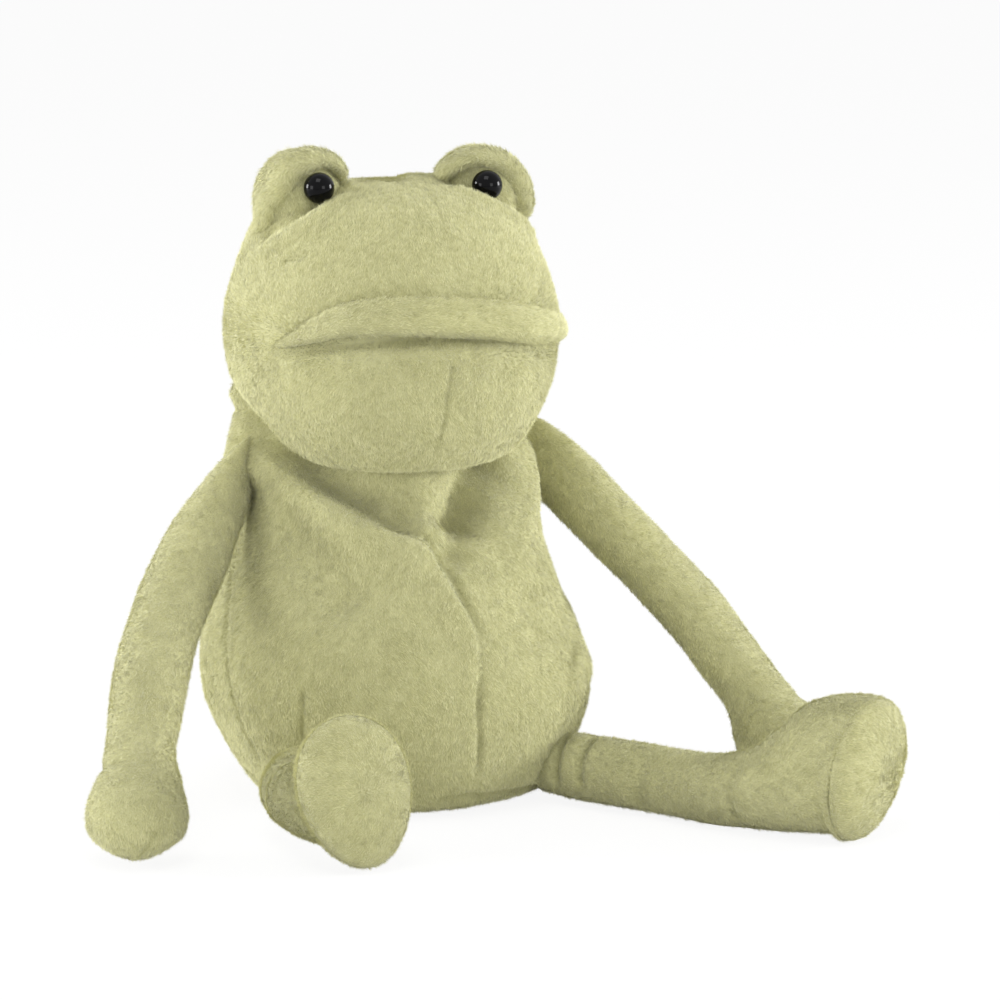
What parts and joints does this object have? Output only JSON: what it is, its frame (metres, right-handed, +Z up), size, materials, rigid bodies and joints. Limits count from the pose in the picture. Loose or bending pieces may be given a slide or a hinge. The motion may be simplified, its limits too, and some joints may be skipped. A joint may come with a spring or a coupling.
{
  "type": "plush_frog",
  "caption": "Sitting plush frog in pale sage short-pile fabric with bulging bead eyes, a rolled upper lip and floppy limbs",
  "frame": {"origin": "middle of the flat seat panel that the frog sits on", "axes": "+Z up, the frog faces -Y and its left side is +X"},
  "size_m": [0.1988, 0.1557, 0.169],
  "materials": {
    "plush": "matte",
    "fibre": "matte",
    "pellets": "matte",
    "bead": "gloss",
    "washer": "satin"
  },
  "bodies": {
    "torso": {"body_skin": "plush", "body_stuffing": "fibre", "seat_pellets": "pellets", "seat_panel": "plush"},
    "head": {"head_skin": "plush", "head_stuffing": "fibre", "upper_lip": "plush", "left_eye_dome": "plush", "right_eye_dome": "plush", "left_brow": "plush", "right_brow": "plush", "left_eye": "bead", "right_eye": "bead", "left_eye_washer": "washer", "right_eye_washer": "washer"},
    "left_arm": {"left_arm_skin": "plush", "left_arm_stuffing": "fibre", "left_hand_pellets": "pellets"},
    "right_arm": {"right_arm_skin": "plush", "right_arm_stuffing": "fibre", "right_hand_pellets": "pellets"},
    "left_leg": {"left_leg_skin": "plush", "left_leg_stuffing": "fibre", "left_foot_pellets": "pellets", "left_sole": "plush"},
    "right_leg": {"right_leg_skin": "plush", "right_leg_stuffing": "fibre", "right_foot_pellets": "pellets", "right_sole": "plush"}
  },
  "joints": [
    {"name": "neck_nod", "type": "hinge", "parent": "torso", "child": "head", "pos_m": [0, 0.003, 0.098], "axis": [1, 0, 0], "range_deg": [-20, 12], "stiffness_Nm_per_rad": 0.05},
    {"name": "left_shoulder_raise", "type": "hinge", "parent": "torso", "child": "left_arm", "pos_m": [0.04073, 0.0025, 0.091], "axis": [-0.7436, -0.6686, 0], "range_deg": [0, 85]},
    {"name": "right_shoulder_raise", "type": "hinge", "parent": "torso", "child": "right_arm", "pos_m": [-0.04073, 0.0025, 0.091], "axis": [-0.7436, 0.6686, 0], "range_deg": [0, 85]},
    {"name": "left_hip_splay", "type": "hinge", "parent": "torso", "child": "left_leg", "pos_m": [0.03646, -0.03443, 0.0083], "axis": [0, 0, 1], "range_deg": [-35, 12]},
    {"name": "right_hip_splay", "type": "hinge", "parent": "torso", "child": "right_leg", "pos_m": [-0.03646, -0.03443, 0.0083], "axis": [0, 0, -1], "range_deg": [-30, 25]}
  ]
}
